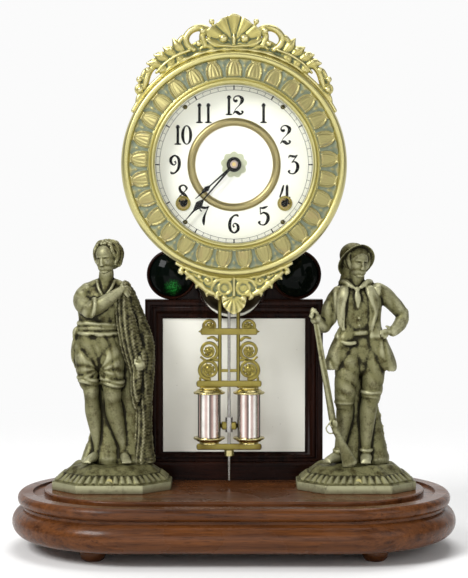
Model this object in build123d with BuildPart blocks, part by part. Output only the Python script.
from build123d import *
import math
import os

os.makedirs("parts", exist_ok=True)

# Oval base, in plan two half circles joined by a straight run
base_straight = 163.0
belly_half_depth = 95.5
rim_half_depth = 91.0
rim_inner_half_depth = 79.0
platform_half_depth = 70.0
foot_height = 11.0
foot_radius = 10.0
foot_sole_radius = 7.0
foot_neck_radius = 7.5
foot_spread_x = 216.0
foot_spread_y = 114.0
belly_height = 22.0
belly_turn_in = 8.0
notch_height = 2.0
rim_height = 10.0
rim_round = 3.0
groove_depth = 2.0
platform_height = 4.0
base_underside = foot_height
belly_top = base_underside + belly_height
rim_bottom = belly_top + notch_height
rim_top = rim_bottom + rim_height
platform_seat = rim_top - groove_depth
platform_top = platform_seat + platform_height

# Mirror case standing at the back of the platform
frame_width = 146.0
frame_height = 133.5
frame_front = 33.0
frame_bead_depth = 2.0
frame_body_depth = 3.0
glass_thickness = 2.0
stile_width = 14.5
top_rail_width = 15.8
bottom_rail_width = 7.5
rebate_lap = 2.0
case_plinth_height = 15.0
case_plinth_overhang = 2.0
board_thickness = 8.0
board_neck_width = 100.0
board_rise = 42.0
frame_bottom = platform_top + case_plinth_height
frame_top = frame_bottom + frame_height
rebate_front = frame_front + frame_bead_depth + frame_body_depth
board_front = rebate_front + glass_thickness
board_back = board_front + board_thickness
roundel_radius = 20.5
roundel_glass_radius = 15.5
roundel_depth = 9.0
roundel_pocket = 0.3 * roundel_depth
roundel_spread = 102.0
roundel_height = frame_top + roundel_radius

# Dial head: depths run along Y, negative towards the viewer
dial_height = 303.0
board_top_height = dial_height + board_rise
dial_front = -30.0
dial_thickness = 1.0
pan_thickness = 1.0
pan_radius = 80.5
dial_radius = 64.0
dial_centre_radius = 30.0
dial_ring_inner = 30.2
dial_ring_outer = 36.2
dial_ring_rise = 2.0
pan_front = dial_front + dial_thickness
pan_back = pan_front + pan_thickness
drum_radius = 79.0
drum_wall = 1.0
drum_back = 2.5
winding_x = 39.5
winding_z = -30.0
winding_hole_radius = 4.8
grommet_wall = 0.6
grommet_flange = 5.8
rivet_x = 37.8
rivet_z = 44.5
rivet_radius = 0.7
rivet_head_radius = 1.3
rivet_head_rise = 0.5
grommet_rise = 0.7

# Bezel door
bezel_radius = 87.5
bezel_seat_radius = 65.0
sight_radius = 62.5
egg_inner = 70.2
egg_outer = 80.3
egg_count = 29
egg_radius = 4.0
egg_wall = 1.2
egg_sink = 0.6
egg_edge = 2.0
bezel_front = -46.0
bezel_roll_front = -40.0
bezel_edge = 4.0
bezel_lip = 1.4
sight_roll = 3.4
sight_roll_rise = 2.4
channel_floor = -34.0
glass_front = -39.2
ornament_back = -31.0
ornament_thickness = 4.0
pendant_boss_radius = 5.6
pendant_boss_rise = 2.0
petal_half_width = 3.9
petal_length = 24.5
petal_lean = 24
petal_foot = 92.0
scroll_eye = (31.5, 98.0)
scroll_eye_radius = 3.2
hinge_x = 84.0
hinge_y = -25.0
hinge_pin_radius = 1.0
hinge_knuckle_radius = 2.2
hinge_knuckle_length = 8.0
hinge_side_length = 5.0
hinge_gap = 0.1
hinge_leaf = 4.0
hinge_pin_end = 1.0

# Movement plates and running fits
plate_thickness = 1.5
plate_radius = 66.0
front_plate_back = -20.5
back_plate_back = 1.5
back_plate_front = back_plate_back - plate_thickness
front_plate_front = front_plate_back - plate_thickness
running_clearance = 0.05
end_shake = 0.2
side_gap = 0.3
pivot_radius = 0.9
arbor_radius = 1.2
pillar_radius = 2.5
pillar_places = ((43.0, 36.0), (-43.0, 36.0), (16.0, -50.0), (-16.0, -50.0))
standoff_radius = 4.0
standoff_places = ((42.0, 20.0), (-42.0, 20.0), (42.0, -12.0), (-42.0, -12.0))
dial_foot_radius = 1.6
dial_foot_ring = 50.0
dial_foot_turns = (60, 120, 240, 300)

# Open mainsprings, an even number of half turns each
spring_width = 9.0
spring_front = -11.5
spring_thickness = 0.8
spring_inner = 7.0
spring_step = 2.2
spring_half_turns = 12
spring_stud_radius = 1.5
spring_outer = spring_inner + spring_step / 2 * spring_half_turns + spring_thickness

# Wheel teeth, in modules, and shares of one tooth pitch
tooth_rise = 0.9
tooth_depth = 0.8
tooth_tip_share = 0.06
tooth_root_share = 0.26
trundle_share = 0.42
trundle_room = 0.6
collet_thickness = 0.6
leaf_rise = 0.7
leaf_depth = 1.0
leaf_tip_share = 0.10
leaf_root_share = 0.22
wheel_thickness = 1.2

great_teeth = 64
great_module = 0.8
great_pinion = 14
second_teeth = 44
second_module = 0.65
second_pinion = 14
centre_teeth = 64
centre_module = 0.5
centre_pinion = 8
third_teeth = 60
third_module = 0.45
third_pinion = 8
pin_wheel_teeth = 36
fly_pinion = 8
cannon_teeth = 12
minute_teeth = 36
motion_module = 0.5
minute_pinion = 10
hour_teeth = 40
hour_module = motion_module * (cannon_teeth + minute_teeth) / (minute_pinion + hour_teeth)

# Layers of the trains, each the back face of its wheel
great_layer = -17.0
second_layer = -12.3
centre_layer = -8.5
third_layer = -4.5
escape_layer = -1.2
cannon_layer = front_plate_front - 0.6
hour_layer = cannon_layer - 2.8
minute_pinion_length = 3.0
minute_stud_front = cannon_layer - wheel_thickness - minute_pinion_length

# Escapement and pendulum
pendulum_x = -4.0
pendulum_y = 6.0
verge_z = 46.0
escape_drop = 17.0
escape_radius = 12.0
escape_teeth = 60
escape_thickness = 0.8
escape_arbor_radius = 0.95
escape_tooth = 1.4
pendulum_swing = 3.0
rod_radius = 1.2
rod_bottom = 51.0
bob_frame_thickness = 3.0
bob_bar_height = 5.0
bob_bottom = 75.5
bob_middle = 126.5
bob_top = 168.5
bob_crown = 214.0
bob_width = 50.0
scroll_rings = ((6.8, 16.4), (5.7, 15.2), (7.4, 17.0))
scroll_lap = 0.8
scroll_width = 1.6
scroll_thickness = 1.8
crown_ring_radius = 4.2
crown_ring_offset = 14.4
side_rod_offset = 7.4
side_rod_width = 2.4
vial_offset = 15.9
vial_radius = 9.25
cap_radius = 12.8
cap_height = 5.5
nut_radius = 4.0
nut_height = 4.5

# Bell and hammer
bell_x = -1.5
bell_radius = 30.8
bell_wall = 1.6
bell_depth = 17.0
bell_flat = 0.25 * bell_radius
bell_shoulder = 0.8 * bell_radius
bell_mouth = 31.0
bell_z = 212.0 - dial_height
bell_post_radius = 2.2
bell_nut_radius = 4.5
hammer_x = -8.0
hammer_z = -40.0
hammer_head_radius = 4.0
hammer_head_length = 6.0
hammer_rest_gap = 1.5
hammer_angle = 130.0
hammer_rod_radius = 1.2
hammer_arm_thickness = 1.4
hammer_arm_width = 3.0
hammer_hub = 2.4
hammer_tail_width = 1.2

# Hands
minute_angle = 221.0
hour_angle = 228.4
minute_length = 58.0
hour_length = 40.0
hand_thickness = 0.6
hour_hand_back = dial_front - dial_ring_rise - 0.5
minute_hand_back = hour_hand_back - hand_thickness - 1.0
hour_pipe_radius = 3.0
centre_arbor_radius = 1.6
nut_thickness = 1.4
nut_hub = 3.0
minute_hub = 3.6
hour_hub_wall = 2.8

# Cast figures on octagonal plinths
figure_x = 97.0
figure_y = -3.0
plinth_half_width = 47.0
plinth_half_depth = 34.0
plinth_cant = 21.0
plinth_strip = 6.0
plinth_slope = 11.0
plinth_top_share = 0.68
mound_height = 3.5
mound_share = 0.63
joint_swell = 1.03
plinth_screw_height = 9.5
plinth_screw_radius = 1.2
plinth_screw_head = 2.2
plinth_screw_length = 6.0
plinth_strip_top = platform_top + plinth_strip
plinth_top = plinth_strip_top + plinth_slope
ground = plinth_top + mound_height


def save(piece, name):
    """Label a finished piece and write it as its own file."""
    piece.part.label = name
    export_step(piece.part, f"parts/{name}.step")


def dial_plane(y, x=0.0, z=0.0, clock_angle=0.0):
    """Plane facing the viewer at depth y, its origin x right and z above the dial centre."""
    turn = math.radians(clock_angle)
    across = (math.cos(turn), 0, -math.sin(turn))
    return Plane(origin=(x, y, dial_height + z), x_dir=across, z_dir=(0, -1, 0))


def disc(y_back, thickness, radius, x=0.0, z=0.0, mode=Mode.ADD):
    """Round plate or hole whose back lies at y_back, thickness running to the viewer."""
    with BuildSketch(dial_plane(y_back, x, z)) as outline:
        Circle(radius)
    extrude(outline.sketch, amount=thickness, mode=mode)


def spindle(y_front, y_back, radius, x=0.0, z=0.0, mode=Mode.ADD):
    """Round bar along the depth from y_front to y_back."""
    disc(y_back, y_back - y_front, radius, x, z, mode)


def turned(profile, place):
    """Solid of revolution about a vertical axis at place, from (radius, height) points."""
    axis_plane = Plane(origin=place, x_dir=(1, 0, 0), z_dir=(0, -1, 0))
    with BuildSketch(axis_plane) as section:
        with BuildLine():
            Polyline(*profile, close=True)
        make_face()
    revolve(section.sketch, axis=Axis(place, (0, 0, 1)))


def teeth_outline(count, module, rise, depth, tip_share, root_share, start):
    """Points of a toothed rim with straight flanks, one tooth centred on the start angle."""
    tip = module * (count / 2 + rise)
    root = module * (count / 2 - depth)
    flank = ((root, -root_share), (tip, -tip_share), (tip, tip_share), (root, root_share))
    points = []
    for tooth in range(count):
        for radius, share in flank:
            angle = start + 2 * math.pi * (tooth + share) / count
            points.append((radius * math.cos(angle), radius * math.sin(angle)))
    return points


def toothed_wheel(y_back, count, module, place, start):
    """Train wheel with slim straight teeth."""
    rim = teeth_outline(count, module, tooth_rise, tooth_depth, tooth_tip_share, tooth_root_share, start)
    with BuildSketch(dial_plane(y_back, *place)) as outline:
        with BuildLine():
            Polyline(*rim, close=True)
        make_face()
    extrude(outline.sketch, amount=wheel_thickness)


def cut_wheel(y_back, thickness, count, module, place, start):
    """Wheel or pinion with cut leaves for the motion work."""
    rim = teeth_outline(count, module, leaf_rise, leaf_depth, leaf_tip_share, leaf_root_share, start)
    with BuildSketch(dial_plane(y_back, *place)) as outline:
        with BuildLine():
            Polyline(*rim, close=True)
        make_face()
    extrude(outline.sketch, amount=thickness)


def lantern_pinion(wheel_back, leaves, module, place, start):
    """Two collets and a ring of wire trundles around one wheel layer."""
    radius = module * leaves / 2
    trundle = trundle_share * module
    collet = radius + trundle + side_gap
    back = wheel_back + trundle_room
    front = wheel_back - wheel_thickness - trundle_room
    disc(back + collet_thickness, collet_thickness, collet, *place)
    disc(front, collet_thickness, collet, *place)
    for leaf in range(leaves):
        angle = start + 2 * math.pi * (leaf + 0.5) / leaves
        x = place[0] + radius * math.cos(angle)
        z = place[1] + radius * math.sin(angle)
        spindle(front - collet_thickness / 2, back + collet_thickness / 2, trundle, x, z)


def arbor(place, front=front_plate_front, back=back_plate_back, radius=arbor_radius):
    """Steel arbor between the plates with thinner pivots in them."""
    spindle(front_plate_back + end_shake, back_plate_front - end_shake, radius, *place)
    spindle(front, back, pivot_radius, *place)


def mesh_angle(wheel_place, pinion_place):
    """Direction from a wheel to the pinion that it drives."""
    return math.atan2(pinion_place[1] - wheel_place[1], pinion_place[0] - wheel_place[0])


def meeting(first, first_reach, second, second_reach, side):
    """Point at given distances from two arbors, on the chosen side of their line."""
    span = math.dist(first, second)
    along = (first_reach**2 - second_reach**2 + span**2) / (2 * span)
    off = side * math.sqrt(first_reach**2 - along**2)
    ux = (second[0] - first[0]) / span
    uz = (second[1] - first[1]) / span
    return (first[0] + along * ux - off * uz, first[1] + along * uz + off * ux)


def limb(*joints):
    """Chain of tapered round lengths with a ball at each joint, each joint x, y, z, radius."""
    for near, far in zip(joints, joints[1:]):
        run = Vector(*far[:3]) - Vector(*near[:3])
        with Locations(Plane(origin=near[:3], z_dir=run).location):
            Cone(near[3], far[3], run.length, align=(Align.CENTER, Align.CENTER, Align.MIN))
    for joint in joints:
        with Locations(joint[:3]):
            Sphere(joint_swell * joint[3])


def trunk(*rings):
    """Loft through upright oval rings, each x, y, z, half width, half depth."""
    ovals = []
    for x, y, z, half_width, half_depth in rings:
        with BuildSketch(Plane.XY.offset(z)) as oval:
            with Locations((x, y)):
                Ellipse(half_width, half_depth)
        ovals.append(oval.sketch)
    loft(ovals)


# Places of the arbors from the dial centre, x right and z up
centre_place = (0.0, 0.0)
time_place = (winding_x, winding_z)
strike_place = (-winding_x, winding_z)
great_reach = great_module * (great_teeth + great_pinion) / 2
second_reach = second_module * (second_teeth + second_pinion) / 2
centre_reach = centre_module * (centre_teeth + centre_pinion) / 2
third_reach = third_module * (third_teeth + third_pinion) / 2
fly_reach = second_module * (pin_wheel_teeth + fly_pinion) / 2
motion_reach = motion_module * (cannon_teeth + minute_teeth) / 2
verge_place = (pendulum_x, verge_z)
escape_place = (pendulum_x, verge_z - escape_drop)
second_place = meeting(centre_place, second_reach, time_place, great_reach, 1)
third_place = meeting(centre_place, centre_reach, escape_place, third_reach, -1)
pin_wheel_place = (-second_place[0], second_place[1])
fly_bearing = math.radians(120)
fly_place = (
    pin_wheel_place[0] + fly_reach * math.cos(fly_bearing),
    pin_wheel_place[1] + fly_reach * math.sin(fly_bearing),
)
minute_place = (0.0, -motion_reach)
hammer_place = (hammer_x, hammer_z)
going_places = (second_place, third_place, escape_place, verge_place)
pivot_places = going_places + (pin_wheel_place, fly_place, hammer_place)

# Oval base moulding with its dome groove
belly_edge = belly_half_depth - belly_turn_in

with BuildPart() as base_moulding:
    with BuildSketch(Plane.YZ.offset(base_straight / 2)) as half_section:
        with BuildLine():
            Line((0, base_underside), (belly_edge, base_underside))
            ThreePointArc(
                (belly_edge, base_underside),
                (belly_half_depth, base_underside + belly_height / 2),
                (belly_edge, belly_top),
            )
            Line((belly_edge, belly_top), (belly_edge, rim_bottom))
            ThreePointArc(
                (belly_edge, rim_bottom),
                (rim_half_depth, rim_bottom + 0.55 * rim_height),
                (rim_half_depth - rim_round, rim_top),
            )
            Line((rim_half_depth - rim_round, rim_top), (rim_inner_half_depth, rim_top))
            Line((rim_inner_half_depth, rim_top), (rim_inner_half_depth, platform_seat))
            Line((rim_inner_half_depth, platform_seat), (0, platform_seat))
            Line((0, platform_seat), (0, base_underside))
        make_face()
    revolve(axis=Axis((base_straight / 2, 0, 0), (0, 0, -1)), revolution_arc=180)
    extrude(half_section.sketch, amount=-base_straight)
    mirror(about=Plane.XZ)
    mirror(about=Plane.YZ)
save(base_moulding, "base_moulding")

with BuildPart() as base_platform:
    with BuildSketch(Plane.XY.offset(platform_seat)):
        SlotOverall(base_straight + 2 * platform_half_depth, 2 * platform_half_depth)
    extrude(amount=platform_height)
    fillet(base_platform.faces().sort_by(Axis.Z)[-1].edges(), 0.4 * platform_height)
save(base_platform, "base_platform")

with BuildPart() as bun_feet:
    for foot_x in (-foot_spread_x / 2, foot_spread_x / 2):
        for foot_y in (-foot_spread_y / 2, foot_spread_y / 2):
            with BuildSketch(Plane.XZ.offset(-foot_y)) as foot_section:
                with BuildLine():
                    Line((foot_x, 0), (foot_x + foot_sole_radius, 0))
                    ThreePointArc(
                        (foot_x + foot_sole_radius, 0),
                        (foot_x + foot_radius, 0.45 * foot_height),
                        (foot_x + foot_neck_radius, foot_height),
                    )
                    Line((foot_x + foot_neck_radius, foot_height), (foot_x, foot_height))
                    Line((foot_x, foot_height), (foot_x, 0))
                make_face()
            revolve(axis=Axis((foot_x, foot_y, 0), (0, 0, 1)))
save(bun_feet, "bun_feet")

# Mirror case: plinth, moulded frame, glass, board and corner roundels
with BuildPart() as frame_plinth:
    plinth_depth = board_back - frame_front + case_plinth_overhang
    with BuildSketch(Plane.XY.offset(platform_top)):
        with Locations((0, board_back - plinth_depth / 2)):
            Rectangle(frame_width + 2 * case_plinth_overhang, plinth_depth)
    extrude(amount=case_plinth_height)
    front_top = frame_plinth.faces().sort_by(Axis.Z)[-1].edges().sort_by(Axis.Y)[0]
    fillet(front_top, case_plinth_overhang)
save(frame_plinth, "frame_plinth")

sight_width = frame_width - 2 * stile_width
sight_bottom = frame_bottom + bottom_rail_width
sight_top = frame_top - top_rail_width
frame_middle = (frame_bottom + frame_top) / 2
sight_middle = (sight_bottom + sight_top) / 2
sight_height = sight_top - sight_bottom


def frame_layer(y_back, depth, outer_inset, inner_inset):
    """Rectangular band of the mirror frame, set in from its outer and sight edges."""
    with BuildSketch(Plane.XZ.offset(-y_back)) as band:
        with Locations((0, frame_middle)):
            Rectangle(frame_width - 2 * outer_inset, frame_height - 2 * outer_inset)
        with Locations((0, sight_middle)):
            Rectangle(sight_width + 2 * inner_inset, sight_height + 2 * inner_inset, mode=Mode.SUBTRACT)
    extrude(band.sketch, amount=depth)


with BuildPart() as mirror_frame:
    frame_layer(board_front, glass_thickness, 0, rebate_lap)
    frame_layer(rebate_front, frame_body_depth, 0, 0)
    frame_layer(rebate_front - frame_body_depth, frame_bead_depth, 0, 0.55 * bottom_rail_width)
    front_edges = mirror_frame.faces().sort_by(Axis.Y)[0].outer_wire().edges()
    fillet(front_edges, 0.4 * frame_bead_depth)
save(mirror_frame, "mirror_frame")

with BuildPart() as mirror_glass:
    with BuildSketch(Plane.XZ.offset(-board_front)):
        with Locations((0, sight_middle)):
            Rectangle(
                sight_width + 2 * rebate_lap - 2 * running_clearance,
                sight_height + 2 * rebate_lap - 2 * running_clearance,
            )
    extrude(amount=glass_thickness)
save(mirror_glass, "mirror_glass")

with BuildPart() as back_board:
    with BuildSketch(Plane.XZ.offset(-board_back)):
        with Locations((0, frame_middle)):
            Rectangle(frame_width, frame_height)
        neck_top = board_top_height - board_neck_width / 4
        with Locations((0, (frame_bottom + neck_top) / 2)):
            Rectangle(board_neck_width, neck_top - frame_bottom)
        with Locations((0, neck_top)):
            Ellipse(board_neck_width / 2, board_neck_width / 4)
    extrude(amount=board_thickness)
    spindle(board_front, board_back, bell_post_radius, bell_x, bell_z, mode=Mode.SUBTRACT)
save(back_board, "back_board")

with BuildPart() as roundel_rings:
    for roundel_x in (-roundel_spread / 2, roundel_spread / 2):
        with BuildSketch(Plane.XZ.offset(-board_front)):
            with Locations((roundel_x, roundel_height)):
                Circle(roundel_radius)
        extrude(amount=roundel_depth)
    fillet(roundel_rings.faces().sort_by(Axis.Y)[:2].edges(), roundel_pocket)
    for roundel_x in (-roundel_spread / 2, roundel_spread / 2):
        with BuildSketch(Plane.XZ.offset(-board_front + roundel_pocket)):
            with Locations((roundel_x, roundel_height)):
                Circle(roundel_glass_radius)
        extrude(amount=roundel_depth, mode=Mode.SUBTRACT)
save(roundel_rings, "roundel_rings")

with BuildPart() as roundel_jewels:
    jewel_back = board_front - roundel_pocket
    jewel_rim = 0.35 * roundel_depth
    jewel_rise = 0.55 * roundel_glass_radius
    jewel_radius = roundel_glass_radius - running_clearance
    dome_radius = (jewel_radius**2 + jewel_rise**2) / (2 * jewel_rise)
    half_turn = math.asin(jewel_radius / dome_radius) / 2
    dome_sag = dome_radius * (1 - math.cos(half_turn))
    for roundel_x in (-roundel_spread / 2, roundel_spread / 2):
        with BuildSketch(Plane((roundel_x, jewel_back, roundel_height), x_dir=(1, 0, 0), z_dir=(0, 0, 1))):
            with BuildLine():
                Line((0, 0), (jewel_radius, 0))
                Line((jewel_radius, 0), (jewel_radius, -jewel_rim))
                ThreePointArc(
                    (jewel_radius, -jewel_rim),
                    (dome_radius * math.sin(half_turn), dome_sag - jewel_rim - jewel_rise),
                    (0, -jewel_rim - jewel_rise),
                )
                Line((0, -jewel_rim - jewel_rise), (0, 0))
            make_face()
        revolve(axis=Axis((roundel_x, 0, roundel_height), (0, 1, 0)))
save(roundel_jewels, "roundel_jewels")


def octagon(share):
    """Corners of the figure plinth's elongated octagon, scaled about its middle."""
    wide = share * plinth_half_width
    deep = share * plinth_half_depth
    cant = share * plinth_cant
    quarter = ((wide - cant, -deep), (wide, cant - deep), (wide, deep - cant), (wide - cant, deep))
    return quarter + tuple((-x, -y) for x, y in quarter)


screw_seat = figure_y - 0.86 * plinth_half_depth
screw_height = platform_top + plinth_screw_height
screw_tip = screw_seat + plinth_screw_length


def figure_plinth(x):
    """Octagonal cast plinth at x with a plain strip, a sloping frieze and a low mound."""
    middle = Plane((x, figure_y, platform_top))
    with BuildSketch(middle) as strip:
        Polygon(*octagon(1.0), align=None)
    extrude(strip.sketch, amount=plinth_strip)
    with BuildSketch(middle.offset(plinth_strip)) as slope_foot:
        Polygon(*octagon(0.97), align=None)
    with BuildSketch(middle.offset(plinth_strip + plinth_slope)) as slope_head:
        Polygon(*octagon(plinth_top_share), align=None)
    loft([slope_foot.sketch, slope_head.sketch], ruled=True)
    with BuildSketch(middle.offset(plinth_strip + plinth_slope)) as mound:
        Ellipse(mound_share * plinth_half_width, mound_share * plinth_half_depth)
    extrude(mound.sketch, amount=mound_height)
    with BuildSketch(Plane((x, screw_tip, screw_height), x_dir=(1, 0, 0), z_dir=(0, -1, 0))) as shank:
        Circle(plinth_screw_radius)
    extrude(shank.sketch, amount=plinth_half_depth, mode=Mode.SUBTRACT)
    with BuildSketch(Plane((x, screw_seat, screw_height), x_dir=(1, 0, 0), z_dir=(0, -1, 0))) as pocket:
        Circle(plinth_screw_head + side_gap)
    extrude(pocket.sketch, amount=plinth_half_depth, mode=Mode.SUBTRACT)


with BuildPart() as fisher_plinth:
    figure_plinth(-figure_x)
save(fisher_plinth, "fisher_plinth")

with BuildPart() as hunter_plinth:
    figure_plinth(figure_x)
save(hunter_plinth, "hunter_plinth")

with BuildPart() as plinth_screws:
    for screw_x in (-figure_x, figure_x):
        with BuildSketch(Plane((screw_x, screw_tip, screw_height), x_dir=(1, 0, 0), z_dir=(0, -1, 0))):
            Circle(plinth_screw_radius)
        extrude(amount=screw_tip - screw_seat)
        with BuildSketch(Plane((screw_x, screw_seat, screw_height), x_dir=(1, 0, 0), z_dir=(0, -1, 0))):
            Circle(plinth_screw_head)
        extrude(amount=plinth_screw_head)
save(plinth_screws, "plinth_screws")


def posed(x, *joints):
    """Joints given from a figure's own middle and ground, moved to its plinth at x."""
    return [(x + jx, figure_y + jy, ground + jz, *rest) for jx, jy, jz, *rest in joints]


def level_sole():
    """Cut a figure or its prop flat at the ground of the plinths."""
    with BuildSketch(Plane.XY.offset(ground)) as sole:
        Rectangle(4 * figure_x, 4 * plinth_half_depth)
    extrude(sole.sketch, amount=-mound_height - plinth_slope, mode=Mode.SUBTRACT)


# Fisher youth: bare legs, rolled shorts, sash, right arm across the chest, net at the left side
with BuildPart() as fisher_figure:
    trunk(
        *posed(
            -figure_x,
            (-11, 0, 82, 17.5, 11),
            (-11, 0, 94, 19, 12),
            (-10.5, 0, 107, 16, 10.5),
            (-8.5, 0, 122, 19, 11.5),
            (-7, 0, 133, 19.5, 11),
            (-6, 0, 141, 14, 8),
        )
    )
    limb(*posed(-figure_x, (-5, 0, 138, 7.0), (-4.4, -1, 149, 5.6)))
    limb(*posed(-figure_x, (-4.3, -1.5, 158, 10.6), (-4.0, -0.5, 165, 12.6)))
    limb(
        *posed(-figure_x, (-21, -1, 135, 7.6), (-17, -11, 123, 6.2)),
        *posed(-figure_x, (-2, -16, 128, 5.0), (9, -13, 138, 4.2)),
    )
    limb(*posed(-figure_x, (9, 0, 136, 6.6), (14, 3, 110, 6.0), (21, -3, 83, 4.6), (22.4, -5, 78, 4.8)))
    limb(*posed(-figure_x, (-19.5, -1, 88, 10.0), (-18.8, -2, 66, 9.6), (-18.8, -2, 62, 8.6)))
    limb(*posed(-figure_x, (-1.8, -2, 88, 10.6), (-0.6, -4, 64, 10.0), (-0.6, -4, 60, 9.2)))
    limb(
        *posed(-figure_x, (-17.2, -2, 62, 5.8), (-15.5, -1, 39, 5.6), (-12.1, -1, 13, 3.4)),
        *posed(-figure_x, (-13.5, -4, 4, 4.0), (-19.5, -15, 2.8, 2.7)),
    )
    limb(
        *posed(-figure_x, (0.6, -5, 57, 6.6), (2.2, -3, 39, 6.2), (9.2, -2, 11, 3.4)),
        *posed(-figure_x, (9.6, -5, 4, 4.0), (12.6, -15, 2.8, 2.7)),
    )
    limb(*posed(-figure_x, (-28, 2, 100, 5.0), (-29, 2, 76, 3.6)))
    limb(*posed(-figure_x, (-5, 7, 60, 7.5), (-4, 7, 5, 11.5)))
    level_sole()
save(fisher_figure, "fisher_figure")

with BuildPart() as fisher_net:
    limb(
        *posed(-figure_x, (16, 4, 130, 5.0), (20, 4, 106, 7.6), (25, 4, 90, 8.6)),
        *posed(-figure_x, (25, 4, 60, 8.0), (24, 4, 30, 7.4), (23.5, 3, 0, 9.6)),
    )
    level_sole()
    add(fisher_figure.part, mode=Mode.SUBTRACT)
save(fisher_net, "fisher_net")

# Hunter: soft wide hat, open jacket, one hand on the muzzle of a grounded gun, other hand on the hip
with BuildPart() as hunter_gun:
    limb(
        *posed(figure_x, (-34.2, -8, 120, 2.2), (-23.3, -14, 53, 2.4), (-19.9, -16, 31, 3.2)),
        *posed(figure_x, (-9, -18.5, 10, 4.2), (-4.5, -19, 0, 5.0)),
    )
    level_sole()
save(hunter_gun, "hunter_gun")

with BuildPart() as hunter_figure:
    trunk(
        *posed(
            figure_x,
            (5, 0, 74, 19, 11),
            (4.2, 0, 90, 18, 11),
            (3.4, 0, 103, 15.5, 10),
            (2.4, 0, 120, 18.5, 11.5),
            (1.6, 0, 132, 19, 11),
            (0.4, 0, 139, 13.5, 8),
        )
    )
    limb(*posed(figure_x, (0, 0, 137, 7.0), (0, -1, 147, 5.4)))
    limb(*posed(figure_x, (1.4, -2, 154, 8.2), (0.8, -1, 161, 9.6)))
    trunk(
        *posed(
            figure_x,
            (-0.4, 0, 160, 12, 12.5),
            (-0.2, 0, 163, 16, 16),
            (0, 0, 168, 15, 15),
            (0, 0.5, 173, 7, 8),
        )
    )
    limb(
        *posed(figure_x, (-17, 0, 134, 7.2), (-24.6, -1, 105, 5.8)),
        *posed(figure_x, (-32.6, -7, 114, 4.4), (-33.6, -8, 117, 4.6)),
    )
    limb(
        *posed(figure_x, (19.6, 0, 136, 7.2), (37.4, 2, 117, 5.8)),
        *posed(figure_x, (27.6, -5, 104, 5.0), (23, -7, 101, 4.6)),
    )
    limb(*posed(figure_x, (-15, 1, 98, 5.6), (-20, 1, 75, 6.6)))
    limb(*posed(figure_x, (22, 1, 98, 5.6), (27, 1, 75, 6.2)))
    limb(
        *posed(figure_x, (-3, -2, 86, 10.4), (-8.6, -5, 52, 8.2), (-9.6, -3, 35, 7.2)),
        *posed(figure_x, (-13, -2, 11, 4.4), (-15, -5, 4.4, 4.3), (-25, -12, 3.0, 2.9)),
    )
    limb(
        *posed(figure_x, (12.6, -2, 86, 10.0), (13, -3, 56, 7.8), (10.4, -3, 38, 6.8)),
        *posed(figure_x, (8.4, -2, 13, 4.4), (8, -6, 4.4, 4.3), (6.8, -17, 3.0, 2.9)),
    )
    limb(*posed(figure_x, (12.3, 8, 40, 5.4), (14.6, 8, 4, 9.6)))
    level_sole()
    add(hunter_gun.part, mode=Mode.SUBTRACT)
save(hunter_figure, "hunter_figure")

# Dial head: drum, pan with feet, two-piece dial and its trim
hinge_reach = hinge_knuckle_length / 2 + hinge_gap + hinge_side_length + hinge_pin_end

with BuildPart() as movement_drum:
    disc(drum_back, drum_back - pan_back, drum_radius)
    disc(drum_back, drum_back - pan_back, drum_radius - drum_wall, mode=Mode.SUBTRACT)
    for side in (-1, 1):
        middle_z = side * (hinge_knuckle_length + hinge_side_length + 2 * hinge_gap) / 2
        with BuildSketch(Plane.XY.offset(dial_height + middle_z - hinge_side_length / 2)) as knuckle:
            with Locations((hinge_x, hinge_y)):
                Circle(hinge_knuckle_radius)
            with Locations(((hinge_x + drum_radius - drum_wall / 2) / 2, hinge_y)):
                Rectangle(hinge_x - drum_radius + drum_wall / 2, hinge_leaf)
            with Locations((hinge_x, hinge_y)):
                Circle(hinge_pin_radius, mode=Mode.SUBTRACT)
        extrude(knuckle.sketch, amount=hinge_side_length)
save(movement_drum, "movement_drum")

with BuildPart() as hinge_pin:
    with BuildSketch(Plane.XY.offset(dial_height - hinge_reach)):
        with Locations((hinge_x, hinge_y)):
            Circle(hinge_pin_radius)
    extrude(amount=2 * hinge_reach)
save(hinge_pin, "hinge_pin")

with BuildPart() as dial_pan:
    disc(pan_back, pan_thickness, pan_radius)
    for foot_turn in dial_foot_turns:
        angle = math.radians(foot_turn)
        foot_place = (dial_foot_ring * math.cos(angle), dial_foot_ring * math.sin(angle))
        spindle(pan_back, front_plate_front, dial_foot_radius, *foot_place)
    disc(pan_back, pan_thickness, hour_pipe_radius + side_gap, mode=Mode.SUBTRACT)
    for x in (-winding_x, winding_x):
        disc(pan_back, pan_thickness, winding_hole_radius, x, winding_z, mode=Mode.SUBTRACT)
    for x in (-rivet_x, rivet_x):
        for z in (-rivet_z, rivet_z):
            disc(pan_back, pan_thickness, rivet_radius, x, z, mode=Mode.SUBTRACT)
save(dial_pan, "dial_pan")

with BuildPart() as dial_chapter:
    disc(pan_front, dial_thickness, dial_radius)
    disc(pan_front, dial_thickness, dial_ring_inner, mode=Mode.SUBTRACT)
    for x in (-winding_x, winding_x):
        disc(pan_front, dial_thickness, winding_hole_radius, x, winding_z, mode=Mode.SUBTRACT)
    for x in (-rivet_x, rivet_x):
        for z in (-rivet_z, rivet_z):
            disc(pan_front, dial_thickness, rivet_radius, x, z, mode=Mode.SUBTRACT)
save(dial_chapter, "dial_chapter")

with BuildPart() as dial_centre:
    disc(pan_front, 0.6 * dial_thickness, dial_centre_radius)
    disc(pan_front, dial_thickness, hour_pipe_radius + side_gap, mode=Mode.SUBTRACT)
save(dial_centre, "dial_centre")

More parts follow.
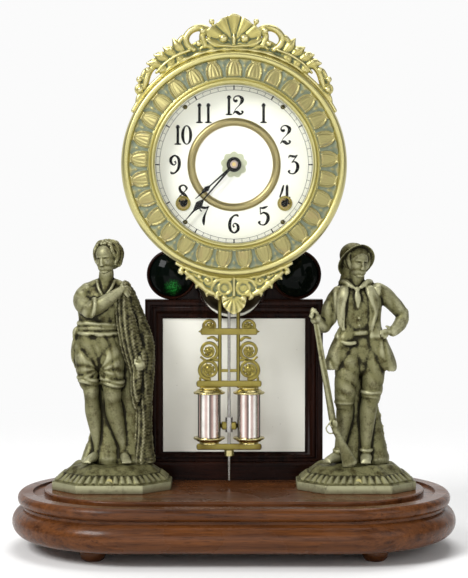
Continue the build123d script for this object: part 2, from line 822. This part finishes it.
with BuildPart() as dial_ring:
    with BuildSketch(Plane((0, dial_front, dial_height), x_dir=(1, 0, 0), z_dir=(0, 0, 1))):
        with BuildLine():
            Line((dial_ring_inner, 0), (dial_ring_outer, 0))
            ThreePointArc(
                (dial_ring_outer, 0),
                ((dial_ring_inner + dial_ring_outer) / 2, -dial_ring_rise),
                (dial_ring_inner, 0),
            )
        make_face()
    revolve(axis=Axis((0, 0, dial_height), (0, 1, 0)))
save(dial_ring, "dial_ring")

with BuildPart() as dial_rivets:
    for x in (-rivet_x, rivet_x):
        for z in (-rivet_z, rivet_z):
            disc(pan_back, pan_thickness + dial_thickness, rivet_radius, x, z)
            disc(dial_front, rivet_head_rise, rivet_head_radius, x, z)
save(dial_rivets, "dial_rivets")

grommet_length = pan_thickness + dial_thickness + grommet_rise

with BuildPart() as winding_grommets:
    for x in (-winding_x, winding_x):
        disc(pan_back, pan_thickness + dial_thickness, winding_hole_radius, x, winding_z)
        disc(dial_front, grommet_rise, grommet_flange, x, winding_z)
        disc(pan_back, grommet_length, winding_hole_radius - grommet_wall, x, winding_z, mode=Mode.SUBTRACT)
save(winding_grommets, "winding_grommets")

# Movement frame
winding_radius = 2.6


def pierced_plate(y_back):
    """Round brass plate with a running hole for each arbor and a fixed hole for each pillar."""
    disc(y_back, plate_thickness, plate_radius)
    for place in pivot_places:
        disc(y_back, plate_thickness, pivot_radius + running_clearance, *place, mode=Mode.SUBTRACT)
    for place in (time_place, strike_place):
        disc(y_back, plate_thickness, winding_radius + running_clearance, *place, mode=Mode.SUBTRACT)
    disc(y_back, plate_thickness, centre_arbor_radius + running_clearance, mode=Mode.SUBTRACT)


with BuildPart() as front_plate:
    pierced_plate(front_plate_back)
    spindle(minute_stud_front, front_plate_front, pivot_radius, *minute_place)
save(front_plate, "front_plate")

with BuildPart() as back_plate:
    pierced_plate(back_plate_back)
    for x, z in (time_place, strike_place):
        spindle(spring_front, back_plate_front, spring_stud_radius, x, z + spring_outer + spring_stud_radius)
save(back_plate, "back_plate")

with BuildPart() as plate_pillars:
    for place in pillar_places:
        spindle(front_plate_back, back_plate_front, pillar_radius, *place)
save(plate_pillars, "plate_pillars")

with BuildPart() as drum_standoffs:
    for place in standoff_places:
        spindle(back_plate_back, board_front, standoff_radius, *place)
save(drum_standoffs, "drum_standoffs")


def coiled_ribbon(place):
    """Open mainspring as half circles of growing radius, its outer end above the arbor."""
    radius = spring_inner
    middle = 0.0
    side = 1
    with BuildSketch(dial_plane(spring_front + spring_width, *place)) as ribbon:
        for half in range(spring_half_turns):
            start = 90 * side
            outer = radius + spring_thickness
            with BuildLine():
                CenterArc((0, middle), radius, start, 180)
                CenterArc((0, middle), outer, start, 180)
                Line((0, middle + radius), (0, middle + outer))
                Line((0, middle - radius), (0, middle - outer))
            make_face()
            radius += spring_step / 2
            middle = spring_step / 2 if side > 0 else 0.0
            side = -side
    extrude(ribbon.sketch, amount=spring_width)


with BuildPart() as mainsprings:
    coiled_ribbon(time_place)
    coiled_ribbon(strike_place)
save(mainsprings, "mainsprings")

# Going train
great_angle = mesh_angle(time_place, second_place)
second_angle = mesh_angle(second_place, centre_place)
centre_angle = mesh_angle(centre_place, third_place)
third_angle = mesh_angle(third_place, escape_place)
great_bore = winding_radius + running_clearance
ratchet_radius = 8.0
ratchet_teeth = 20
ratchet_thickness = 1.2
click_offset = 11.5
click_screw_radius = 1.4
pawl_length = 6.0
pawl_width = 1.8
square_length = 5.0
ratchet_rise = 1.2


def great_wheel(place, start):
    """Great wheel running free on its winding arbor, with the click on its back face."""
    toothed_wheel(great_layer, great_teeth, great_module, place, start)
    disc(great_layer, wheel_thickness, great_bore, *place, mode=Mode.SUBTRACT)
    click_z = place[1] + click_offset
    spindle(great_layer, great_layer + ratchet_thickness, click_screw_radius, place[0], click_z)
    with BuildSketch(dial_plane(great_layer + ratchet_thickness, place[0] + winding_radius, click_z)) as pawl:
        Rectangle(pawl_length, pawl_width)
    extrude(pawl.sketch, amount=ratchet_thickness)


def winding_arbor(place):
    """Winding arbor with a square for the key and a ratchet wheel behind the great wheel."""
    spindle(pan_back, back_plate_back, winding_radius, *place)
    with BuildSketch(dial_plane(pan_back, *place)) as square:
        Rectangle(1.3 * winding_radius, 1.3 * winding_radius)
    extrude(square.sketch, amount=square_length)
    rim = []
    for tooth in range(ratchet_teeth):
        for radius, share in ((ratchet_radius, 0.0), (ratchet_radius + ratchet_rise, 0.08)):
            angle = 2 * math.pi * (tooth + share) / ratchet_teeth
            rim.append((radius * math.cos(angle), radius * math.sin(angle)))
    with BuildSketch(dial_plane(great_layer + ratchet_thickness + 0.1, *place)) as ratchet:
        with BuildLine():
            Polyline(*rim, close=True)
        make_face()
    extrude(ratchet.sketch, amount=ratchet_thickness)


with BuildPart() as time_great_wheel:
    great_wheel(time_place, great_angle)
save(time_great_wheel, "time_great_wheel")

with BuildPart() as time_winding_arbor:
    winding_arbor(time_place)
save(time_winding_arbor, "time_winding_arbor")

with BuildPart() as second_wheel:
    arbor(second_place)
    lantern_pinion(great_layer, great_pinion, great_module, second_place, great_angle + math.pi)
    toothed_wheel(second_layer, second_teeth, second_module, second_place, second_angle)
save(second_wheel, "second_wheel")

cannon_front = minute_hand_back - hand_thickness - nut_thickness - 0.3
motion_angle = mesh_angle(centre_place, minute_place)

with BuildPart() as centre_wheel:
    spindle(cannon_front, back_plate_back, centre_arbor_radius)
    lantern_pinion(second_layer, second_pinion, second_module, centre_place, second_angle + math.pi)
    toothed_wheel(centre_layer, centre_teeth, centre_module, centre_place, centre_angle)
    cut_wheel(cannon_layer, wheel_thickness, cannon_teeth, motion_module, centre_place,
              motion_angle + math.pi / cannon_teeth)
save(centre_wheel, "centre_wheel")

with BuildPart() as third_wheel:
    arbor(third_place)
    lantern_pinion(centre_layer, centre_pinion, centre_module, third_place, centre_angle + math.pi)
    toothed_wheel(third_layer, third_teeth, third_module, third_place, third_angle)
save(third_wheel, "third_wheel")

with BuildPart() as escape_wheel:
    arbor(escape_place, radius=escape_arbor_radius)
    lantern_pinion(third_layer, third_pinion, third_module, escape_place, third_angle + math.pi)
    escape_root = escape_radius - escape_tooth
    escape_rim = []
    for tooth in range(escape_teeth):
        for radius, share in ((escape_root, 0.0), (escape_radius, 0.3), (escape_root, 0.45)):
            angle = 2 * math.pi * (tooth + share) / escape_teeth
            escape_rim.append((radius * math.cos(angle), radius * math.sin(angle)))
    with BuildSketch(dial_plane(escape_layer, *escape_place)) as escape_outline:
        with BuildLine():
            Polyline(*escape_rim, close=True)
        make_face()
    extrude(escape_outline.sketch, amount=escape_thickness)
save(escape_wheel, "escape_wheel")

# Motion work behind the dial
with BuildPart() as minute_wheel:
    back_angle = motion_angle + math.pi
    pinion_layer = cannon_layer - wheel_thickness
    pinion_angle = back_angle + math.pi / minute_pinion
    cut_wheel(cannon_layer, wheel_thickness, minute_teeth, motion_module, minute_place, back_angle)
    cut_wheel(pinion_layer, minute_pinion_length, minute_pinion, hour_module, minute_place, pinion_angle)
    stud_bore = pivot_radius + running_clearance
    spindle(minute_stud_front, cannon_layer, stud_bore, *minute_place, mode=Mode.SUBTRACT)
save(minute_wheel, "minute_wheel")

with BuildPart() as hour_wheel:
    cut_wheel(hour_layer, wheel_thickness, hour_teeth, hour_module, centre_place, motion_angle)
    spindle(hour_hand_back - hand_thickness, hour_layer, hour_pipe_radius)
    spindle(cannon_front, hour_layer, centre_arbor_radius + running_clearance, mode=Mode.SUBTRACT)
save(hour_wheel, "hour_wheel")


def spade_hand(y_back, clock_angle, length, hub, bore):
    """Slim pointed hand with a swelling two thirds of the way out, on a round hub."""
    swell = 0.052 * length
    right = (
        (0.9, 0), (0.55, 0.50 * length), (0.45, 0.62 * length), (swell, 0.71 * length),
        (0.7, 0.82 * length), (0.25, length),
    )
    left = tuple((-x, z) for x, z in reversed(right))
    with BuildSketch(dial_plane(y_back, clock_angle=clock_angle)) as outline:
        with BuildLine():
            Polyline(*right, *left, close=True)
        make_face()
        Circle(hub)
        Circle(bore, mode=Mode.SUBTRACT)
    extrude(outline.sketch, amount=hand_thickness)


with BuildPart() as hour_hand:
    spade_hand(hour_hand_back, hour_angle, hour_length, hour_pipe_radius + hour_hub_wall, hour_pipe_radius)
save(hour_hand, "hour_hand")

with BuildPart() as minute_hand:
    spade_hand(minute_hand_back, minute_angle, minute_length, minute_hub, centre_arbor_radius)
save(minute_hand, "minute_hand")

with BuildPart() as hand_nut:
    disc(minute_hand_back - hand_thickness, nut_thickness, nut_hub)
    disc(minute_hand_back - hand_thickness, nut_thickness, centre_arbor_radius, mode=Mode.SUBTRACT)
save(hand_nut, "hand_nut")

# Escapement: verge with its crutch, suspension post and spring
verge_reach = escape_radius + 1.8
pallet_half_angle = math.radians(50)
pallet_x = verge_reach * math.sin(pallet_half_angle)
pallet_z = verge_reach * math.cos(pallet_half_angle) - escape_drop
crutch_length = 32.0
crutch_gap = 0.6
crutch_back = 3.2
verge_hub = 2.4
prong_width = 1.2
prong_height = 3.0
prong_back = pendulum_y + rod_radius + 1.5

with BuildPart() as verge_crutch:
    spindle(front_plate_front, crutch_back, pivot_radius, *verge_place)
    disc(escape_layer, escape_thickness, verge_hub, *verge_place)
    with BuildSketch(dial_plane(escape_layer, *verge_place)) as anchor:
        with BuildLine():
            Polyline(
                (0, 2.2), (-pallet_x - 0.7, pallet_z), (-pallet_x + 0.5, pallet_z - 0.4), (0, -1.2),
                (pallet_x - 0.5, pallet_z - 0.4), (pallet_x + 0.7, pallet_z),
                close=True,
            )
        make_face()
    extrude(anchor.sketch, amount=escape_thickness)
    with BuildSketch(dial_plane(crutch_back, *verge_place)) as crutch:
        with Locations((0, -crutch_length / 2)):
            Rectangle(2.0, crutch_length)
        Circle(verge_hub)
        with Locations((0, -crutch_length)):
            Rectangle(2 * (rod_radius + crutch_gap + prong_width), prong_height)
    extrude(crutch.sketch, amount=crutch_back - back_plate_back - side_gap)
    for side in (-1, 1):
        with BuildSketch(dial_plane(prong_back, *verge_place)) as prong:
            with Locations((side * (rod_radius + crutch_gap + prong_width / 2), -crutch_length)):
                Rectangle(prong_width, prong_height)
        extrude(prong.sketch, amount=prong_back - crutch_back)
save(verge_crutch, "verge_crutch")

post_height = 9.0
post_slit = 1.5
post_width = 9.0
post_back = pendulum_y + 4.0
post_wall = 1.0
post_middle = verge_z + 4.0 + post_height / 2
spring_strip = 0.3
strip_width = 4.0
strip_length = 14.0

with BuildPart() as suspension_post:
    with BuildSketch(dial_plane(post_back, pendulum_x, post_middle)):
        Rectangle(post_width, post_height)
    extrude(amount=post_back - back_plate_back)
    with BuildSketch(dial_plane(post_back - post_wall, pendulum_x, post_middle)):
        Rectangle(post_slit, post_height)
    extrude(amount=strip_width + 2 * post_wall, mode=Mode.SUBTRACT)
save(suspension_post, "suspension_post")

with BuildPart() as suspension_spring:
    with BuildSketch(dial_plane(pendulum_y + strip_width / 2, pendulum_x, verge_z)):
        Rectangle(spring_strip, strip_length)
    extrude(amount=strip_width)
save(suspension_spring, "suspension_spring")

# Pendulum: steel rod, brass bob frame with scrolls, two polished vials with flared caps
rod_clip_height = 5.0
rod_clip_width = 3.6
rod_sleeve_radius = 3.0
rod_sleeve_bottom = 90.0
rod_sleeve_height = 12.0
rod_top = dial_height + verge_z - 7.0

with BuildPart() as pendulum_rod:
    with BuildSketch(Plane.XY.offset(rod_bottom)):
        with Locations((pendulum_x, pendulum_y)):
            Circle(rod_radius)
    extrude(amount=rod_top - rod_bottom)
    with BuildSketch(Plane.XY.offset(rod_top)):
        with Locations((pendulum_x, pendulum_y)):
            Rectangle(rod_clip_width, strip_width + 1.0)
            Rectangle(spring_strip, strip_width, mode=Mode.SUBTRACT)
    extrude(amount=rod_clip_height)
    with BuildSketch(Plane.XY.offset(rod_sleeve_bottom)):
        with Locations((pendulum_x, pendulum_y)):
            Circle(rod_sleeve_radius)
    extrude(amount=rod_sleeve_height)
save(pendulum_rod, "pendulum_rod")

bob_back = pendulum_y + bob_frame_thickness / 2
crown_ring_height = bob_top + bob_bar_height + crown_ring_radius - scroll_lap

with BuildPart() as pendulum_frame:
    with BuildSketch(Plane.XZ.offset(-bob_back)):
        for bar_z, bar_width in ((bob_bottom, bob_width), (bob_middle, bob_width), (bob_top, bob_width - 3)):
            with Locations((pendulum_x, bar_z + bob_bar_height / 2)):
                Rectangle(bar_width, bob_bar_height)
        with Locations((pendulum_x, bob_crown)):
            Rectangle(2 * side_rod_offset + side_rod_width, 3.0)
        for side in (-1, 1):
            with Locations((pendulum_x + side * side_rod_offset, (bob_middle + bob_crown) / 2)):
                Rectangle(side_rod_width, bob_crown - bob_middle)
    extrude(amount=bob_frame_thickness)
    for side in (-1, 1):
        ring_foot = bob_middle + bob_bar_height - scroll_lap
        for ring_radius, ring_offset in scroll_rings:
            with BuildSketch(Plane.XZ.offset(-pendulum_y - scroll_thickness / 2)):
                with Locations((pendulum_x + side * ring_offset, ring_foot + ring_radius)):
                    Circle(ring_radius)
                    Circle(ring_radius - scroll_width, mode=Mode.SUBTRACT)
            extrude(amount=scroll_thickness)
            ring_foot += 2 * ring_radius - scroll_lap
        with BuildSketch(Plane.XZ.offset(-pendulum_y - scroll_thickness / 2)):
            with Locations((pendulum_x + side * crown_ring_offset, crown_ring_height)):
                Circle(crown_ring_radius)
                Circle(crown_ring_radius - scroll_width, mode=Mode.SUBTRACT)
        extrude(amount=scroll_thickness)
    with BuildSketch(Plane.XY.offset(bob_bottom)):
        with Locations((pendulum_x, pendulum_y)):
            Circle(rod_radius + running_clearance)
    extrude(amount=bob_crown - bob_bottom + 5, mode=Mode.SUBTRACT)
save(pendulum_frame, "pendulum_frame")

vial_bottom = bob_bottom + bob_bar_height
vial_top = bob_middle

with BuildPart() as vial_tubes:
    for side in (-1, 1):
        with BuildSketch(Plane.XY.offset(vial_bottom + cap_height)):
            with Locations((pendulum_x + side * vial_offset, pendulum_y)):
                Circle(vial_radius)
        extrude(amount=vial_top - vial_bottom - 2 * cap_height)
save(vial_tubes, "vial_tubes")

cap_profile = (
    (0, 0), (0.35 * cap_radius, 0), (0.5 * cap_radius, 0.4 * cap_height), (cap_radius, 0.55 * cap_height),
    (cap_radius, 0.8 * cap_height), (vial_radius, cap_height), (0, cap_height),
)

with BuildPart() as vial_caps:
    for side in (-1, 1):
        vial_x = pendulum_x + side * vial_offset
        turned(cap_profile, (vial_x, pendulum_y, vial_bottom))
        turned([(radius, -height) for radius, height in cap_profile], (vial_x, pendulum_y, vial_top))
save(vial_caps, "vial_caps")

with BuildPart() as rating_nut:
    with BuildSketch(Plane.XY.offset(bob_bottom - nut_height)):
        with Locations((pendulum_x, pendulum_y)):
            RegularPolygon(nut_radius, 12)
            Circle(rod_radius + running_clearance, mode=Mode.SUBTRACT)
    extrude(amount=nut_height)
save(rating_nut, "rating_nut")

# Striking train
strike_angle = mesh_angle(strike_place, pin_wheel_place)
lift_pins = 6
lift_ring = 7.6
lift_pin_radius = 0.6
lift_pin_length = 2.4
vane_width = 20.0
vane_thickness = 1.0
vane_depth = 6.0
vane_back = -2.0
vane_hub = 2.0

with BuildPart() as strike_great_wheel:
    great_wheel(strike_place, strike_angle)
save(strike_great_wheel, "strike_great_wheel")

with BuildPart() as strike_winding_arbor:
    winding_arbor(strike_place)
save(strike_winding_arbor, "strike_winding_arbor")

with BuildPart() as strike_pin_wheel:
    arbor(pin_wheel_place)
    lantern_pinion(great_layer, great_pinion, great_module, pin_wheel_place, strike_angle + math.pi)
    toothed_wheel(second_layer, pin_wheel_teeth, second_module, pin_wheel_place, fly_bearing)
    for pin in range(lift_pins):
        pin_angle = 2 * math.pi * pin / lift_pins
        pin_x = pin_wheel_place[0] + lift_ring * math.cos(pin_angle)
        pin_z = pin_wheel_place[1] + lift_ring * math.sin(pin_angle)
        spindle(second_layer, second_layer + lift_pin_length, lift_pin_radius, pin_x, pin_z)
save(strike_pin_wheel, "strike_pin_wheel")

with BuildPart() as strike_fly:
    arbor(fly_place)
    lantern_pinion(second_layer, fly_pinion, second_module, fly_place, fly_bearing + math.pi)
    with BuildSketch(dial_plane(vane_back, *fly_place)) as vane:
        Rectangle(vane_width, vane_thickness)
        Circle(vane_hub)
    extrude(vane.sketch, amount=vane_depth)
save(strike_fly, "strike_fly")

# Bell on its post, with the hammer
bell_crown = bell_mouth - bell_depth
bell_rise = 0.32 * bell_depth

with BuildPart() as bell:
    with BuildSketch(Plane((bell_x, 0, dial_height + bell_z), x_dir=(1, 0, 0), z_dir=(0, 0, 1))):
        with BuildLine():
            Line((bell_post_radius, bell_crown), (bell_flat, bell_crown))
            ThreePointArc(
                (bell_flat, bell_crown),
                (bell_shoulder, bell_crown + bell_rise),
                (bell_radius, bell_mouth),
            )
            Line((bell_radius, bell_mouth), (bell_radius - bell_wall, bell_mouth))
            ThreePointArc(
                (bell_radius - bell_wall, bell_mouth),
                (bell_shoulder - 0.8 * bell_wall, bell_crown + bell_rise + bell_wall),
                (bell_flat, bell_crown + bell_wall),
            )
            Line((bell_flat, bell_crown + bell_wall), (bell_post_radius, bell_crown + bell_wall))
            Line((bell_post_radius, bell_crown + bell_wall), (bell_post_radius, bell_crown))
        make_face()
    revolve(axis=Axis((bell_x, 0, dial_height + bell_z), (0, 1, 0)))
save(bell, "bell")

with BuildPart() as bell_post:
    spindle(bell_crown - 3.0, board_back, bell_post_radius, bell_x, bell_z)
    spindle(bell_crown - 2.5, bell_crown, bell_nut_radius, bell_x, bell_z)
    spindle(bell_crown + bell_wall, board_front, bell_nut_radius, bell_x, bell_z)
save(bell_post, "bell_post")

hammer_reach = bell_radius + hammer_rest_gap + hammer_head_radius
head_x = bell_x + hammer_reach * math.cos(math.radians(hammer_angle))
head_z = bell_z + hammer_reach * math.sin(math.radians(hammer_angle))
hammer_arm_back = back_plate_back + side_gap + hammer_arm_thickness
tail_tip = (pin_wheel_place[0] + 0.6, pin_wheel_place[1] - lift_ring - lift_pin_radius - 1.2)
tail_length = math.dist(hammer_place, tail_tip)
arm_length = math.dist(hammer_place, (head_x, head_z))
arm_turn = 90 - math.degrees(math.atan2(head_z - hammer_z, head_x - hammer_x))
tail_turn = 90 - math.degrees(math.atan2(tail_tip[1] - hammer_z, tail_tip[0] - hammer_x))

with BuildPart() as hammer:
    arbor(hammer_place)
    spindle(back_plate_front, hammer_arm_back, pivot_radius, *hammer_place)
    with BuildSketch(dial_plane(hammer_arm_back, *hammer_place, clock_angle=arm_turn)) as arm:
        with Locations((0, arm_length / 2)):
            Rectangle(hammer_arm_width, arm_length)
        Circle(hammer_hub)
        with Locations((0, arm_length)):
            Circle(hammer_hub)
    extrude(arm.sketch, amount=hammer_arm_thickness)
    tail_back = second_layer + lift_pin_length
    with BuildSketch(dial_plane(tail_back, *hammer_place, clock_angle=tail_turn)) as tail:
        with Locations((0, tail_length / 2)):
            Rectangle(hammer_tail_width, tail_length)
    extrude(tail.sketch, amount=hammer_tail_width)
    head_back = bell_mouth - 0.5
    spindle(hammer_arm_back - 0.5, head_back, hammer_rod_radius, head_x, head_z)
    disc(head_back, hammer_head_length, hammer_head_radius, head_x, head_z)
save(hammer, "hammer")

# Bezel door: stepped ring, egg band, glass, crest and pendant
with BuildPart() as bezel_ring:
    edge_front = (bezel_radius, pan_front - bezel_edge)
    roll_crest = (egg_outer + egg_wall, bezel_roll_front)
    sight_crest = (egg_inner - sight_roll / 2, bezel_front)
    sight_slope = (egg_inner - sight_roll, bezel_front + sight_roll / 2)
    with BuildSketch(Plane((0, 0, dial_height), x_dir=(1, 0, 0), z_dir=(0, 0, 1))):
        with BuildLine():
            Line((bezel_seat_radius, pan_front), (bezel_radius, pan_front))
            Line((bezel_radius, pan_front), edge_front)
            TangentArc(edge_front, roll_crest, tangent=(0, -1))
            Line(roll_crest, (egg_outer, channel_floor))
            Line((egg_outer, channel_floor), (egg_inner, channel_floor))
            Line((egg_inner, channel_floor), (egg_inner, bezel_front + sight_roll_rise))
            ThreePointArc((egg_inner, bezel_front + sight_roll_rise), sight_crest, sight_slope)
            Line(sight_slope, (sight_radius, glass_front - bezel_lip))
            Line((sight_radius, glass_front - bezel_lip), (sight_radius, glass_front))
            Line((sight_radius, glass_front), (bezel_seat_radius, glass_front))
            Line((bezel_seat_radius, glass_front), (bezel_seat_radius, pan_front))
        make_face()
    revolve(axis=Axis((0, 0, dial_height), (0, 1, 0)))
    with BuildSketch(Plane.XY.offset(dial_height - hinge_knuckle_length / 2)):
        with Locations((hinge_x, hinge_y)):
            Circle(hinge_knuckle_radius)
        with Locations((hinge_x, (hinge_y + pan_front) / 2)):
            Rectangle(hinge_leaf, hinge_y - pan_front)
        with Locations((hinge_x, hinge_y)):
            Circle(hinge_pin_radius + running_clearance, mode=Mode.SUBTRACT)
    extrude(amount=hinge_knuckle_length)
save(bezel_ring, "bezel_ring")

egg_middle = (egg_inner + egg_outer) / 2
egg_crest = bezel_roll_front - 1.5

with BuildPart() as egg_ring:
    with BuildSketch(Plane((0, 0, dial_height), x_dir=(1, 0, 0), z_dir=(0, 0, 1))):
        with BuildLine():
            Line((egg_inner, channel_floor), (egg_outer, channel_floor))
            Line((egg_outer, channel_floor), (egg_outer, channel_floor - egg_edge))
            ThreePointArc(
                (egg_outer, channel_floor - egg_edge),
                (egg_middle, egg_crest + 2 * egg_sink),
                (egg_inner, egg_crest + egg_sink),
            )
            Line((egg_inner, egg_crest + egg_sink), (egg_inner, channel_floor))
        make_face()
    revolve(axis=Axis((0, 0, dial_height), (0, 1, 0)))
    for egg in range(egg_count):
        egg_angle = math.pi / 2 + 2 * math.pi * egg / egg_count
        egg_x = egg_middle * math.cos(egg_angle)
        egg_z = dial_height + egg_middle * math.sin(egg_angle)
        with Locations((egg_x, egg_crest + egg_radius - egg_sink, egg_z)):
            Sphere(egg_radius)
save(egg_ring, "egg_ring")

with BuildPart() as bezel_glass:
    disc(glass_front + glass_thickness, glass_thickness, bezel_seat_radius - running_clearance)
save(bezel_glass, "bezel_glass")


def lobes(*places):
    """Overlapping round lobes mirrored to both sides, each x, z, radius."""
    for x, z, radius in places:
        with Locations((x, z), (-x, z)):
            Circle(radius)


with BuildPart() as crest:
    with BuildSketch(dial_plane(ornament_back)):
        for petal in range(-3, 4):
            with Locations((0, petal_foot)):
                length = petal_length - 1.1 * abs(petal)
                with Locations(Rot(Z=-petal_lean * petal)):
                    with Locations((0, length / 2)):
                        Ellipse(petal_half_width, length / 2)
        lobes((10, 90, 7), (22, 93, 7.5), (31.5, 97, 8.2), (41, 91, 7), (48, 84, 6.5), (55, 80, 6.5))
        lobes((61, 76, 5.2), (65, 72, 4.4), (68, 64, 4.6), (72, 58.5, 4.8), (73.5, 52, 3.6))
        with Locations(scroll_eye, (-scroll_eye[0], scroll_eye[1])):
            Circle(scroll_eye_radius, mode=Mode.SUBTRACT)
        Circle(bezel_radius, mode=Mode.SUBTRACT)
    extrude(amount=ornament_thickness)
save(crest, "crest")

with BuildPart() as pendant:
    with BuildSketch(dial_plane(ornament_back)):
        with BuildLine():
            Polyline(
                (-36, -76), (-36, -84), (-20, -99), (-7, -110), (0, -116.5), (7, -110), (20, -99),
                (36, -84), (36, -76), close=True,
            )
        make_face()
        lobes((39.5, -80.5, 4.4), (30, -88, 4.6), (20, -96, 4.6), (9, -106, 5.2))
        Circle(bezel_radius, mode=Mode.SUBTRACT)
    extrude(amount=ornament_thickness)
    for side in (-1, 1):
        disc(ornament_back - ornament_thickness, pendant_boss_rise, pendant_boss_radius, 7.8 * side, -96.5)
save(pendant, "pendant")
